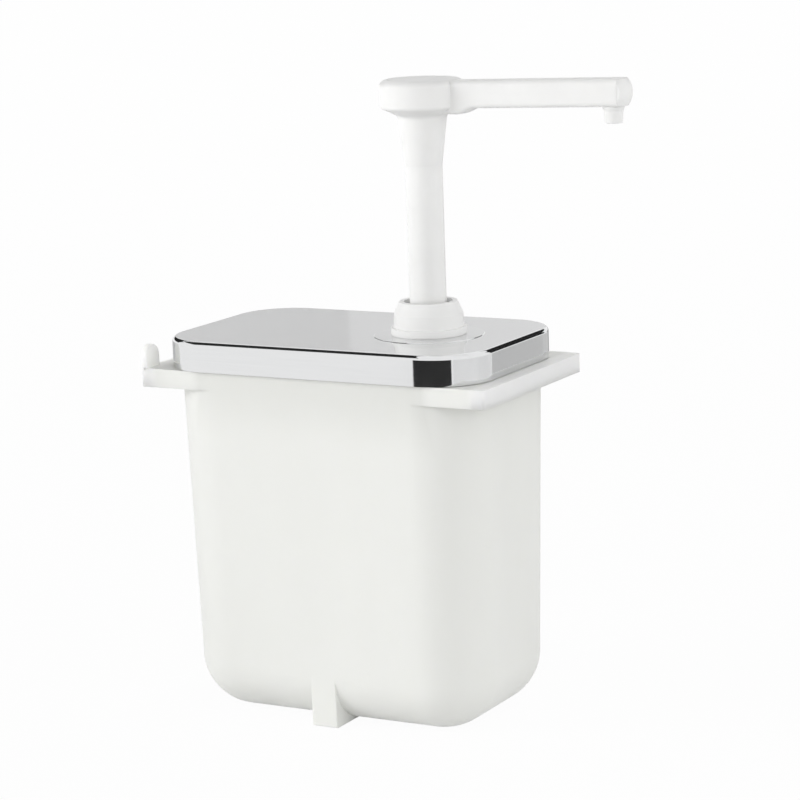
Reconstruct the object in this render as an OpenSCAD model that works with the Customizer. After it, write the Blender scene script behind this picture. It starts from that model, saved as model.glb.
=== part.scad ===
// Sauce pump dispenser: a tapered jar with end ledges, a pressed steel lid
// and a piston pump with a side spout.
// Millimetres, +Z up, +X towards the spout, origin at the centre of the jar's base.

/* [Jar] */
// Outside length of the jar at its rim
jar_length = 167; // [150:1:185]
// Outside width of the jar at its rim
jar_width = 105; // [92:1:120]
// Height of the rim above the base
jar_height = 184.5; // [175:0.5:215]
// Corner radius of the jar at its rim
jar_corner = 32; // [29:0.5:38]
// Thickness of the jar's walls and floor
jar_wall = 2.4; // [1.8:0.1:3]
// Lean of each wall, in degrees
jar_lean = 1.5; // [0.5:0.1:1.8]
// Radius where the walls turn into the base
base_round = 27; // [16:0.5:27]
// Width of the foot fin on each long side
foot_width = 13.6; // [8:0.2:20]

/* [Ledges] */
// Reach of each end ledge past the rim
ledge_reach = 9.5; // [7:0.5:16]
// Depth of the ledges' turned-down lip
ledge_depth = 9; // [6:0.5:12]
// Thickness of the ledges
ledge_wall = 2.5; // [2:0.1:3.5]
// Rounding of the ledges' corners
ledge_corner = 2; // [1:0.25:4]
// Length of each upright lug along the ledge
lug_length = 12; // [8:0.5:16]
// Height of the lugs above the ledge
lug_height = 11; // [9:0.5:13]
// Thickness of the lugs
lug_thick = 3.4; // [2:0.2:4]

/* [Lid] */
// Thickness of the lid's sheet
lid_sheet = 1; // [0.6:0.1:1.5]
// Gap between the lid's skirt and the jar's rim
lid_gap = 0.5; // [0.4:0.1:2.5]
// Depth of the lid's skirt
lid_skirt = 14.5; // [11:0.5:20]
// Corner radius of the lid
lid_corner = 27; // [20:0.5:28]
// Bend radius of the lid's top edge
lid_bend = 2.2; // [1.6:0.1:3]
// Diameter of the boss pressed up under the pump
boss_d = 53; // [50:0.5:58]
// Rise of the boss above the lid
boss_rise = 0.6; // [0.4:0.1:2.5]

/* [Pump cylinder] */
// Distance of the pump's axis from the jar's middle
pump_x = 38; // [30:0.5:42]
// Stroke of the pump
stroke = 60; // [45:1:64]
// Bore of the pump cylinder
bore_d = 25.2; // [24.4:0.1:26.4]
// Wall of the pump cylinder
cylinder_wall = 2.4; // [2:0.1:3]
// Diameter of the threaded neck that comes up through the lid
neck_d = 28; // [27.4:0.1:29]
// Diameter of the flange that clamps the lid from below
flange_d = 44; // [38:0.5:46]
// Thickness of that flange
flange_t = 3; // [2:0.25:4]
// Thickness of the gasket between flange and lid
gasket_t = 1.2; // [0.8:0.1:2]
// Length of the stem guide inside the cylinder
guide_length = 14; // [10:0.5:18]

/* [Collar] */
// Thickness of the washer between collar and lid
washer_t = 0.5; // [0.5:0.1:1.5]
// Height of the collar
collar_h = 15.3; // [13:0.1:18]
// Diameter of the collar's foot flange
collar_flange_d = 36.2; // [35:0.2:40]
// Height of the collar's foot flange
collar_flange_h = 3; // [2:0.25:4]
// Diameter of the collar's body
collar_d = 33.6; // [33:0.2:36]
// Diameter of the collar's top
collar_top_d = 28.2; // [27:0.2:31]
// Height of the sloping shoulder
collar_shoulder = 6; // [3:0.25:8]
// Diameter of the recess round the stem
recess_d = 23.2; // [22.4:0.2:24]
// Depth of that recess
recess_depth = 4; // [2.5:0.25:6]

/* [Plunger] */
// Outside diameter of the stem
stem_d = 17.6; // [16.4:0.2:18]
// Diameter of the stem's reduced ends
spigot_d = 13.6; // [13:0.1:14.4]
// Bore of the stem
stem_bore = 10; // [9:0.1:10.4]
// Length of the stem's upper end inside the head
socket_depth = 20; // [14:0.5:22]
// Height of the piston
piston_h = 15; // [13:0.5:20]
// Width of each piston ring
ring_w = 2.3; // [1.6:0.1:3]
// Radial thickness of each piston ring
ring_t = 1.7; // [1.2:0.1:2.2]
// Thickness of the washer on top of the return spring
slip_t = 1; // [0.8:0.1:1.6]

/* [Spring] */
// Wire diameter of the return spring
wire_d = 1.6; // [1:0.1:1.8]
// Outside diameter of the return spring
spring_d = 22.8; // [22.2:0.1:23.6]
// Turns of the return spring
spring_turns = 11; // [8:1:13]

/* [Valves] */
// Diameter of the inlet ball
inlet_ball_d = 12; // [10:0.5:12.5]
// Diameter of the outlet ball
outlet_ball_d = 8; // [6.5:0.1:8.4]
// Lift of each ball off its seat
ball_lift = 3; // [2:0.25:4]
// Outside diameter of the suction tube
tube_d = 12; // [10:0.25:13]
// Wall of the suction tube
tube_wall = 1.5; // [1:0.1:2]
// Slope of the cut at the suction tube's foot, in degrees
tube_cut = 45; // [20:1:50]
// Gap between the suction tube and the jar's floor
tube_clear = 6; // [3:0.5:10]
// Depth of the valve cup over the cylinder's end
cup_depth = 12; // [8:0.5:16]
// Wall of the valve cup
cup_wall = 2.5; // [2:0.1:3.5]
// Thickness of the seal under the cylinder
seal_t = 1.5; // [1:0.1:2]

/* [Head] */
// Free stem left above the collar at the end of the stroke
press_margin = 4.6; // [2:0.2:10]
// Length of the tapered trunk under the head
trunk_length = 23.5; // [22:0.5:30]
// Diameter of the trunk where it meets the head
trunk_d = 23.4; // [21:0.2:28]
// Diameter of the round head
head_d = 40; // [38:0.5:54]
// Height of the round head
head_h = 17; // [16:0.25:22]
// Rounding of the head's top edge
head_round = 3.5; // [3:0.25:6]
// Diameter of the cap in the head's top
cap_d = 32; // [24:0.5:33]
// Thickness of that cap
cap_t = 2; // [1.5:0.1:2.4]
// Distance from the pump's axis to the spout's end
spout_length = 103; // [80:1:130]
// Width of the spout
spout_w = 14; // [11:0.25:16]
// Height of the spout's section
spout_h = 12.8; // [11.6:0.1:13]
// Rise of the spout from the pump's axis to its end
spout_rise = 2.2; // [0:0.1:3]
// Depth of the haunch below the spout's root
haunch_drop = 2.4; // [1:0.1:3]
// Distance from the pump's axis to the end of the haunch's flat
haunch_reach = 21; // [18:0.5:26]
// Length of the slope from there up to the spout
haunch_run = 9; // [5:0.5:14]
// Rounding of the spout's edges
spout_round = 2.6; // [1.5:0.1:4]
// Bore along the spout
channel_d = 6.6; // [5:0.1:7]
// Rise of the domed plug at the spout's end
dome_rise = 4.2; // [3:0.1:6]
// Radius of that plug's dome
dome_r = 10; // [9:0.25:16]
// Distance of the nozzle's axis from the spout's end
nozzle_inset = 4.6; // [4.4:0.1:9]
// Outside diameter of the nozzle
nozzle_d = 9; // [9:0.1:11]
// Bore of the nozzle
nozzle_bore = 5.9; // [5:0.1:7]
// Length of the nozzle below the spout
nozzle_length = 7.8; // [5:0.2:14]

/* [Fits] */
// Radial clearance of pieces that slide or turn in each other
run_gap = 0.08; // [0.04:0.01:0.1]
// Radial clearance of pieces that are screwed or pushed together
push_gap = 0.06; // [0.04:0.01:0.1]
// Gap between faces that meet as the pump moves
face_gap = 0.3; // [0.2:0.05:0.5]

/* [Hidden] */
$fn = 64;
// Amount by which cuts run past the faces they open
over = 1;
// Spacing between the spring's close end turns
end_turn_gap = 0.6;
// Rings of points in each turn of the spring, and sides of its wire
rings_per_turn = 8;
wire_sides = 6;
// Steps of each rounded corner in a profile
arc_steps = 8;
// Small bevel that breaks the edges of turned pieces
edge_break = 0.6;
// Draft of the collar and of the nozzle, as a change of radius
draft = 0.3;
// Step back of a gasket from the edge of the face that presses it
gasket_inset = 0.8;
// Step back of the collar's washer from the edge of the collar's foot
washer_inset = 0.1;

// Jar: the walls lean out by jar_lean, so each corner is a cone that ends in the base's round
lean_run = tan(jar_lean);
corner_x = jar_length / 2 - jar_corner;
corner_y = jar_width / 2 - jar_corner;
corner_foot = jar_corner - jar_height * lean_run;
base_r = min(base_round, corner_foot - jar_wall / 4);
round_x = corner_foot + base_r * lean_run - base_r / cos(jar_lean);
// Bevel of the rim's outer edge, which clears the inside of the lid's bend
rim_break = max(edge_break, lid_bend - lid_sheet - lid_gap + face_gap / 2);

// Levels from the jar's rim upwards
lid_top = jar_height + lid_sheet;
lid_bottom = lid_top - lid_skirt;
ledge_top = lid_bottom - face_gap;
ledge_end = jar_length / 2 + ledge_reach;
// The ledges' sides start just inside the jar's long walls
ledge_width = 2 * wall_y(ledge_top - ledge_depth) - face_gap;
lid_length = jar_length + 2 * (lid_gap + lid_sheet);
lid_width = jar_width + 2 * (lid_gap + lid_sheet);
boss_top = lid_top + boss_rise;
collar_bottom = boss_top + washer_t;
collar_top = collar_bottom + collar_h;
guide_top = collar_top - recess_depth;

// Levels of the pump below the collar
guide_rim_t = 2;
wiper_w = 2.2;
wiper_depth = guide_rim_t / 2;
wiper_lip = 0.9;
neck_top = guide_top - guide_rim_t;
guide_bottom = neck_top - guide_length;
piston_top = guide_bottom - face_gap;
piston_bottom = piston_top - piston_h;
spring_top = piston_bottom - slip_t;
spring_spare = 4;
spring_bottom = spring_top - stroke - spring_turns * wire_d - spring_spare;
cage_rim_t = 2;
cup_floor = spring_bottom - cage_rim_t;
cylinder_bottom = cup_floor + seal_t;
flange_top = boss_top - lid_sheet - gasket_t;
flange_bottom = flange_top - flange_t;

// Radii of the pump
bore_r = bore_d / 2;
cylinder_r = bore_r + cylinder_wall;
neck_r = neck_d / 2;
lid_hole_gap = 0.5;
lid_hole_r = neck_r + lid_hole_gap;
stem_r = stem_d / 2;
spigot_r = spigot_d / 2;
stem_bore_r = stem_bore / 2;
wiper_r = stem_r + wiper_w;
spring_r = (spring_d - wire_d) / 2;
spring_inner_r = spring_d / 2 - wire_d;
// Clear radius inside the coil, at the middle of its straight steps
spring_clear_r = spring_inner_r * cos(180 / rings_per_turn);
cage_r = spring_clear_r - 2 * face_gap;
ring_inner_r = bore_r - ring_t;

// Inlet valve: the ball lies on a 45 degree seat, with the seat's hole leading to the suction tube
seat_hole_share = 0.67;
ball_room = 1.6;
seat_drop = 3;
valve_throat = 4;
tube_socket = 12;
cup_floor_t = 4;
bar_t = 2;
inlet_r = inlet_ball_d / 2;
inlet_hole_r = inlet_r * seat_hole_share;
inlet_room_r = inlet_r + ball_room;
inlet_seat_top = cup_floor - seat_drop;
inlet_seat_bottom = inlet_seat_top - (inlet_room_r - inlet_hole_r);
inlet_z = seated_centre(inlet_seat_bottom, inlet_hole_r, inlet_r);
tube_top = inlet_seat_bottom - valve_throat;
cup_bottom = tube_top - tube_socket;
tube_r = tube_d / 2;
cup_neck_r = tube_r + cup_wall;
cup_r = cylinder_r + push_gap + cup_wall;
cup_skirt_bottom = cup_floor - cup_floor_t;
cage_top = inlet_z + inlet_r + ball_lift + face_gap + bar_t;

// Outlet valve: a hollow plug in the stem's foot holds the piston on and carries the outlet ball
seat_rim = 0.7;
outlet_r = outlet_ball_d / 2;
outlet_hole_r = outlet_r * seat_hole_share;
outlet_rim_r = spring_clear_r - 2 * face_gap;
outlet_rim_t = 3;
outlet_plug = 8;
outlet_rim_top = piston_bottom - face_gap;
outlet_seat_top = outlet_rim_top + outlet_plug;
outlet_cone_r = stem_bore_r - seat_rim;
outlet_seat_bottom = outlet_seat_top - (outlet_cone_r - outlet_hole_r);
outlet_z = seated_centre(outlet_seat_bottom, outlet_hole_r, outlet_r);
outlet_bar = outlet_z + outlet_r + ball_lift + face_gap;

// Head: its trunk stands clear of the collar by the stroke and a margin
trunk_bottom = collar_top + stroke + press_margin;
head_bottom = trunk_bottom + trunk_length;
head_top = head_bottom + head_h;
head_r = head_d / 2;
// Least flat left between the cap and the round of the head's edge
cap_land = 0.3;
cap_r = min(cap_d / 2, head_r - head_round - cap_land);
under_rise = 3;
under_round = 2.4;
spout_drop = 0.9;
channel_drop = 0.5;
spout_top = head_top - spout_drop;
spout_bottom = spout_top - spout_h;
spout_mid = spout_top - spout_h / 2;
channel_z = spout_mid + spout_rise / 2 - channel_drop;
spout_tilt = atan(spout_rise / spout_length);
haunch_bottom = spout_bottom - haunch_drop;
// Step in of the haunch from the spout's sides
haunch_inset = 0.3;
spout_end = pump_x + spout_length;
// Step in of the end plug from the spout's outline
plug_inset = 0.2;
nozzle_x = spout_end - nozzle_inset;
nozzle_spigot_wall = 0.9;
// Least wall between the nozzle's spigot and the spout's end
nozzle_end_wall = 0.5;
nozzle_collar_step = 0.6;
nozzle_spigot_r = min(nozzle_bore / 2 + nozzle_spigot_wall, nozzle_inset - nozzle_end_wall);
nozzle_collar_r = nozzle_d / 2 + nozzle_collar_step;
nozzle_collar_h = 1;
// Flat face cut under the spout's end for the nozzle
nozzle_sink = 0.1;
nozzle_face = spout_bottom + spout_rise + nozzle_sink;
seal_ring_w = 1.8;
seal_ring_t = 1;

// Points of an arc about (x, y) from angle a to angle b
function arc(x, y, r, a, b) =
    [for (i = [0 : arc_steps]) let (t = a + (b - a) * i / arc_steps) [x + r * cos(t), y + r * sin(t)]];

// Height at which a ball rests, a hair clear, on a 45 degree seat that opens upwards from a hole
function seated_centre(seat_bottom, hole_r, ball_r) =
    seat_bottom - hole_r + (ball_r + face_gap / 2) * sqrt(2);

// Half the jar's outside width at height z
function wall_y(z) = jar_width / 2 - (jar_height - z) * lean_run;

// Half section of one jar corner, set in from the outside by inset, up to the height top with its edge broken
function jar_corner_profile(inset, top, bevel) =
    let (r = corner_foot + top * lean_run - inset / cos(jar_lean)) concat(
        [[0, inset]],
        arc(round_x, base_r, base_r - inset, -90, -jar_lean),
        [[r - bevel * lean_run, top - bevel], [r - bevel, top], [0, top]]);

// A flat plate with rounded corners, centred
module rounded_plate(length, width, r) {
    square([length - 2 * r, width], center = true);
    square([length, width - 2 * r], center = true);
    for (x = [-1, 1], y = [-1, 1])
        translate([x * (length / 2 - r), y * (width / 2 - r)])
            circle(r);
}

// A ring about the pump's axis between two heights
module ring(inner_r, outer_r, low, high) {
    translate([pump_x, 0, low])
        difference() {
            cylinder(r = outer_r, h = high - low);
            translate([0, 0, -over])
                cylinder(r = inner_r, h = high - low + 2 * over);
        }
}

// A turned piece about the pump's axis
module turned(points) {
    translate([pump_x, 0, 0])
        rotate_extrude()
            polygon(points);
}

// The jar's tapered body, set in from the outside by inset
module jar_form(inset, top, bevel) {
    hull()
        for (x = [-1, 1], y = [-1, 1])
            translate([x * corner_x, y * corner_y, 0])
                rotate_extrude($fn = 48)
                    polygon(jar_corner_profile(inset, top, bevel));
}

// One end ledge: a plate with a lip turned down round its edge, open below
module ledge() {
    reach = ledge_end - corner_x;
    difference() {
        translate([corner_x + reach / 2, 0, ledge_top - ledge_depth])
            linear_extrude(ledge_depth)
                rounded_plate(reach, ledge_width, ledge_corner);
        translate([corner_x + reach / 2, 0, ledge_top - ledge_depth - over])
            linear_extrude(ledge_depth - ledge_wall + over)
                square([reach - 2 * ledge_wall, ledge_width - 2 * ledge_wall], center = true);
    }
}

// A round-topped lug at the corner of the left ledge
module lug() {
    r = lug_length / 2;
    translate([-ledge_end, ledge_width / 2 - r, ledge_top - ledge_wall / 2])
        rotate([90, 0, 90])
            linear_extrude(lug_thick) {
                translate([-r, 0])
                    square([lug_length, lug_height + ledge_wall / 2 - r]);
                translate([0, lug_height + ledge_wall / 2 - r])
                    circle(r);
            }
}

// A fin that carries one long wall straight down to the base
module foot() {
    top = base_r + 2 * jar_wall;
    inner = corner_y + round_x;
    rotate([90, 0, 90])
        linear_extrude(foot_width, center = true)
            polygon(concat(
                [[inner, 0], [wall_y(0), 0], [wall_y(top), top], [wall_y(top) - jar_wall / 2, top]],
                arc(inner, base_r, base_r - jar_wall / 2, -jar_lean, -90)));
}

module jar() {
    color([0.93, 0.94, 0.92])
        difference() {
            union() {
                jar_form(0, jar_height, rim_break);
                for (side = [0, 180])
                    rotate(side) {
                        ledge();
                        foot();
                    }
                for (side = [0, 1])
                    mirror([0, side, 0])
                        lug();
            }
            jar_form(jar_wall, jar_height + over, 0);
        }
}

// The lid's outline as a filled block, set in by inset
module lid_form(inset, bottom, top) {
    bend = lid_bend - inset;
    r = lid_corner - inset;
    hull()
        for (x = [-1, 1], y = [-1, 1])
            translate([x * (lid_length / 2 - lid_corner), y * (lid_width / 2 - lid_corner), 0])
                rotate_extrude($fn = 64)
                    polygon(concat(
                        [[0, bottom], [r, bottom]],
                        arc(r - bend, top - bend, bend, 0, 90),
                        [[0, top]]));
}

// The boss's outline, shifted into the sheet by inset
module boss_form(inset, bottom) {
    r = boss_d / 2 - inset;
    turned([[0, bottom], [r, bottom], [r, lid_top - inset], [r - boss_rise, boss_top - inset],
            [0, boss_top - inset]]);
}

module lid() {
    color([0.78, 0.79, 0.8])
        difference() {
            union() {
                lid_form(0, lid_bottom, lid_top);
                boss_form(0, lid_top - lid_sheet);
            }
            lid_form(lid_sheet, lid_bottom - over, lid_top - lid_sheet);
            boss_form(lid_sheet, lid_top - 2 * lid_sheet);
            translate([pump_x, 0, lid_bottom])
                cylinder(r = lid_hole_r, h = boss_top - lid_bottom + over);
        }
}

module collar() {
    flange_z = collar_bottom + collar_flange_h;
    color([0.95, 0.95, 0.94])
        turned(concat(
            [[neck_r + push_gap, collar_bottom]],
            [[collar_flange_d / 2, collar_bottom], [collar_flange_d / 2, flange_z - edge_break]],
            [[collar_flange_d / 2 - edge_break, flange_z], [collar_d / 2, flange_z]],
            [[collar_d / 2 - draft, collar_top - collar_shoulder]],
            [[collar_top_d / 2, collar_top - edge_break]],
            [[collar_top_d / 2 - edge_break, collar_top], [recess_d / 2, collar_top]],
            [[recess_d / 2, guide_top], [neck_r + push_gap, guide_top]]));
}

module collar_washer() {
    color([0.95, 0.95, 0.94])
        ring(neck_r + push_gap, collar_flange_d / 2 - washer_inset, boss_top, collar_bottom);
}

module cylinder_body() {
    color([0.93, 0.93, 0.92])
        turned([[bore_r, cylinder_bottom], [cylinder_r, cylinder_bottom], [cylinder_r, flange_bottom],
                [flange_d / 2, flange_bottom], [flange_d / 2, flange_top], [neck_r, flange_top],
                [neck_r, neck_top], [bore_r, neck_top]]);
}

module flange_gasket() {
    color([0.3, 0.3, 0.31])
        ring(neck_r + push_gap, flange_d / 2 - gasket_inset, flange_top, flange_top + gasket_t);
}

module stem_guide() {
    sleeve_r = bore_r - push_gap;
    color([0.9, 0.9, 0.88])
        turned([[stem_r + run_gap, guide_bottom], [sleeve_r, guide_bottom], [sleeve_r, neck_top],
                [neck_r, neck_top], [neck_r, guide_top], [wiper_r, guide_top],
                [wiper_r, guide_top - wiper_depth], [stem_r + run_gap, guide_top - wiper_depth]]);
}

module stem_wiper() {
    inner_r = stem_r + run_gap;
    outer_r = wiper_r - push_gap;
    color([0.35, 0.35, 0.36])
        turned([[inner_r, guide_top - wiper_depth], [outer_r, guide_top - wiper_depth], [outer_r, guide_top],
                [inner_r + wiper_lip, guide_top + wiper_lip], [inner_r, guide_top + wiper_lip]]);
}

module valve_cup() {
    inner_r = cylinder_r + push_gap;
    color([0.9, 0.9, 0.88])
        turned([[tube_r, cup_bottom], [cup_neck_r, cup_bottom], [cup_neck_r, tube_top],
                [cup_r, cup_skirt_bottom], [cup_r, cup_floor + cup_depth], [inner_r, cup_floor + cup_depth],
                [inner_r, cup_floor], [inlet_room_r, cup_floor], [inlet_room_r, inlet_seat_top],
                [inlet_hole_r, inlet_seat_bottom], [inlet_hole_r, tube_top], [tube_r, tube_top]]);
}

module valve_seal() {
    color([0.3, 0.3, 0.31])
        ring(bore_r, cylinder_r, cup_floor, cylinder_bottom);
}

module ball_cage() {
    rim_r = bore_r - 2 * push_gap;
    color([0.86, 0.87, 0.86]) {
        turned([[inlet_room_r, cup_floor], [rim_r, cup_floor], [rim_r, spring_bottom],
                [cage_r, spring_bottom], [cage_r, cage_top], [inlet_room_r, cage_top]]);
        translate([pump_x, 0, cage_top - bar_t / 2])
            cube([inlet_room_r + cage_r, bar_t, bar_t], center = true);
    }
}

module inlet_ball() {
    color([0.7, 0.71, 0.73])
        translate([pump_x, 0, inlet_z])
            sphere(r = inlet_r);
}

module suction_tube() {
    end_z = jar_wall + tube_clear;
    color([0.9, 0.91, 0.9])
        difference() {
            ring(tube_r - tube_wall, tube_r - push_gap, end_z, tube_top);
            translate([pump_x + tube_r, 0, end_z])
                rotate([0, tube_cut, 0])
                    translate([0, 0, -tube_d])
                        cube([2 * tube_d, 2 * tube_d, 2 * tube_d], center = true);
        }
}

// The spring's centre line: close turns at both ends, even turns between, u counted in turns
spring_length = spring_top - spring_bottom - wire_d;
end_pitch = wire_d + end_turn_gap;
mid_pitch = (spring_length - 2 * end_pitch) / (spring_turns - 2);

function spring_z(u) =
    u < 1 ? u * end_pitch :
    u > spring_turns - 1 ? spring_length - (spring_turns - u) * end_pitch :
    end_pitch + (u - 1) * mid_pitch;

function spring_ring(u) = [for (k = [0 : wire_sides - 1])
    let (a = 360 * k / wire_sides, r = spring_r + wire_d / 2 * cos(a))
    [r * cos(360 * u), r * sin(360 * u), spring_z(u) + wire_d / 2 * (1 + sin(a))]];

spring_rings = spring_turns * rings_per_turn;
spring_points = [for (i = [0 : spring_rings]) each spring_ring(i / rings_per_turn)];
spring_sides = [for (i = [0 : spring_rings - 1], k = [0 : wire_sides - 1])
    let (a = i * wire_sides + k, b = i * wire_sides + (k + 1) % wire_sides)
    each [[a, b, a + wire_sides], [b, b + wire_sides, a + wire_sides]]];
spring_ends = [for (k = [1 : wire_sides - 2]) each
    [[0, k + 1, k], [for (j = [0, k, k + 1]) spring_rings * wire_sides + j]]];

module return_spring() {
    gaps = [for (i = [0 : spring_rings - rings_per_turn])
        spring_z(i / rings_per_turn + 1) - spring_z(i / rings_per_turn) - wire_d];
    echo(least_gap_between_turns = min(gaps));
    color([0.72, 0.73, 0.75])
        translate([pump_x, 0, spring_bottom])
            polyhedron(spring_points, concat(spring_sides, spring_ends));
}

module slip_washer() {
    color([0.86, 0.87, 0.86])
        ring(spring_inner_r - face_gap, bore_r - 2 * run_gap - face_gap, spring_top, piston_bottom);
}

// Heights of the two piston rings
ring_bottoms = [piston_bottom + ring_w, piston_top - 2 * ring_w];

module piston() {
    color([0.9, 0.9, 0.88])
        difference() {
            ring(spigot_r + run_gap, bore_r - run_gap, piston_bottom, piston_top);
            for (z = ring_bottoms)
                ring(ring_inner_r - push_gap, bore_r + over, z - push_gap, z + ring_w + push_gap);
        }
}

module piston_rings() {
    color([0.3, 0.3, 0.31])
        for (z = ring_bottoms)
            ring(ring_inner_r, bore_r - run_gap / 2, z, z + ring_w);
}

module stem() {
    shoulder = piston_top + face_gap;
    groove = trunk_bottom + socket_depth / 2;
    color([0.95, 0.95, 0.94])
        union() {
            difference() {
                turned([[stem_bore_r, outlet_rim_top], [spigot_r, outlet_rim_top], [spigot_r, shoulder],
                        [stem_r, shoulder], [stem_r, trunk_bottom], [spigot_r, trunk_bottom],
                        [spigot_r, trunk_bottom + socket_depth], [stem_bore_r, trunk_bottom + socket_depth]]);
                ring(spigot_r - seal_ring_t, stem_r, groove, groove + seal_ring_w);
            }
            translate([pump_x, 0, outlet_bar + bar_t / 2])
                cube([stem_bore + (spigot_r - stem_bore_r), bar_t, bar_t], center = true);
        }
}

module stem_seal() {
    groove = trunk_bottom + socket_depth / 2;
    color([0.3, 0.3, 0.31])
        ring(spigot_r - seal_ring_t + push_gap, spigot_r, groove, groove + seal_ring_w);
}

module outlet_seat() {
    color([0.86, 0.87, 0.86])
        turned([[outlet_hole_r, outlet_rim_top - outlet_rim_t], [outlet_rim_r, outlet_rim_top - outlet_rim_t],
                [outlet_rim_r, outlet_rim_top], [stem_bore_r - push_gap, outlet_rim_top],
                [stem_bore_r - push_gap, outlet_seat_top], [outlet_cone_r, outlet_seat_top],
                [outlet_hole_r, outlet_seat_bottom]]);
}

module outlet_ball() {
    color([0.7, 0.71, 0.73])
        translate([pump_x, 0, outlet_z])
            sphere(r = outlet_r);
}

// A bar along the spout with rounded edges, from the pump's axis
module spout_bar(length, width, height) {
    rotate([90, 0, 90])
        linear_extrude(length)
            rounded_plate(width, height, spout_round);
}

// The rising spout, cut off upright at its end and flat where the nozzle seats
module spout() {
    difference() {
        translate([pump_x, 0, spout_mid])
            rotate([0, -spout_tilt, 0])
                spout_bar(spout_length + spout_h, spout_w, spout_h);
        translate([spout_end, -spout_w, spout_bottom - spout_h])
            cube([2 * spout_h, 2 * spout_w, 4 * spout_h]);
        translate([nozzle_x - nozzle_collar_r - push_gap, -spout_w, nozzle_face - spout_h])
            cube([2 * spout_h, 2 * spout_w, spout_h]);
    }
}

// The haunch under the spout's root: flat, then sloping up into the spout
module haunch() {
    reach = haunch_reach + 2 * haunch_run;
    slope = haunch_drop + spout_rise * (haunch_reach + haunch_run) / spout_length;
    width = spout_w - 2 * haunch_inset;
    translate([pump_x, 0, 0])
        intersection() {
            rotate([90, 0, 0])
                linear_extrude(spout_w, center = true)
                    polygon([[0, haunch_bottom], [haunch_reach, haunch_bottom],
                             [reach, haunch_bottom + 2 * slope], [reach, spout_mid], [0, spout_mid]]);
            translate([0, 0, (haunch_bottom + spout_top) / 2])
                spout_bar(reach, width, spout_top - haunch_bottom);
        }
}

module head() {
    side = head_bottom + under_rise + under_round;
    color([0.96, 0.96, 0.95])
        difference() {
            union() {
                turned(concat(
                    [[0, trunk_bottom], [stem_r, trunk_bottom], [trunk_d / 2, head_bottom]],
                    arc(head_r - under_round, side, under_round, -60, 0),
                    arc(head_r - head_round, head_top - head_round, head_round, 0, 90),
                    [[0, head_top]]));
                spout();
                haunch();
            }
            translate([pump_x, 0, trunk_bottom - over])
                cylinder(r = spigot_r + push_gap, h = socket_depth + over);
            translate([pump_x, 0, trunk_bottom])
                cylinder(r = stem_bore_r, h = head_top - trunk_bottom);
            translate([pump_x, 0, head_top - cap_t])
                cylinder(r = cap_r, h = cap_t + over);
            translate([pump_x, 0, channel_z])
                rotate([0, 90, 0])
                    cylinder(d = channel_d, h = spout_length + over);
            translate([nozzle_x, 0, nozzle_face - over])
                cylinder(r = nozzle_spigot_r + push_gap, h = channel_z - nozzle_face + over);
        }
}

module head_cap() {
    plug = channel_z + channel_d / 2;
    color([0.94, 0.94, 0.93])
        turned([[0, plug], [stem_bore_r - push_gap, plug], [stem_bore_r - push_gap, head_top - cap_t],
                [cap_r - push_gap, head_top - cap_t], [cap_r - push_gap, head_top], [0, head_top]]);
}

module nozzle() {
    bottom = nozzle_face - nozzle_length;
    top = channel_z - channel_d / 2;
    color([0.95, 0.95, 0.94])
        translate([nozzle_x, 0, 0])
            rotate_extrude()
                polygon([[nozzle_bore / 2, bottom], [nozzle_d / 2 - draft, bottom],
                         [nozzle_d / 2, nozzle_face - 2 * nozzle_collar_h],
                         [nozzle_collar_r, nozzle_face - nozzle_collar_h], [nozzle_collar_r, nozzle_face],
                         [nozzle_spigot_r, nozzle_face], [nozzle_spigot_r, top], [nozzle_bore / 2, top]]);
}

module spout_plug() {
    shank = nozzle_inset - nozzle_bore / 2;
    end_mid = spout_mid + spout_rise;
    color([0.92, 0.92, 0.91])
        union() {
            intersection() {
                translate([spout_end, 0, end_mid])
                    spout_bar(dome_rise + over, spout_w - 2 * plug_inset, spout_h - 2 * plug_inset);
                translate([spout_end + dome_rise - dome_r, 0, end_mid])
                    sphere(r = dome_r);
            }
            translate([spout_end - shank, 0, channel_z])
                rotate([0, 90, 0])
                    cylinder(r = channel_d / 2 - push_gap, h = shank + over / 2);
        }
}

jar();
lid();
collar();
collar_washer();
cylinder_body();  // cylinder
flange_gasket();
stem_guide();
stem_wiper();
valve_cup();
valve_seal();
ball_cage();
inlet_ball();
suction_tube();
return_spring();
slip_washer();
piston();
piston_rings();
stem();
stem_seal();
outlet_seat();
outlet_ball();
head();
head_cap();
nozzle();
spout_plug();
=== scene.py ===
"""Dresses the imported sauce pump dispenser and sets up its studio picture."""

import logging
import math
from collections.abc import Callable
from dataclasses import dataclass
from enum import Enum

import bmesh
import bpy
from mathutils import Matrix, Vector


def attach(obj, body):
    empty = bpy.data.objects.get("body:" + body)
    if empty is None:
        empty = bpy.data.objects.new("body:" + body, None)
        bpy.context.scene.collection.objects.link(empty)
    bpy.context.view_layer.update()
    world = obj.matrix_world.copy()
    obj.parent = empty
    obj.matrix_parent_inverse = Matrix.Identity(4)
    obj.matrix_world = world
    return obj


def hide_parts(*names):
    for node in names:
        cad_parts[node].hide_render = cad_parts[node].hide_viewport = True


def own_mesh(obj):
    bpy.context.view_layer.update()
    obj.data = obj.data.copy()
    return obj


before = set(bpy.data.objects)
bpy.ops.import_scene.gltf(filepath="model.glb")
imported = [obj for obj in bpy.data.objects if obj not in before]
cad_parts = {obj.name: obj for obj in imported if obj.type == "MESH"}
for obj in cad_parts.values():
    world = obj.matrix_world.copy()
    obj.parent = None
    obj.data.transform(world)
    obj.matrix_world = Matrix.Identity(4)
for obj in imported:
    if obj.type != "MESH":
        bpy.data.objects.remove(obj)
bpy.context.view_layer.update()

LOG = logging.getLogger("dispenser")
Point2 = tuple[float, float]
Point3 = tuple[float, float, float]
Colour = tuple[float, float, float]
Ramp = tuple[float, float, float, float]
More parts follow.
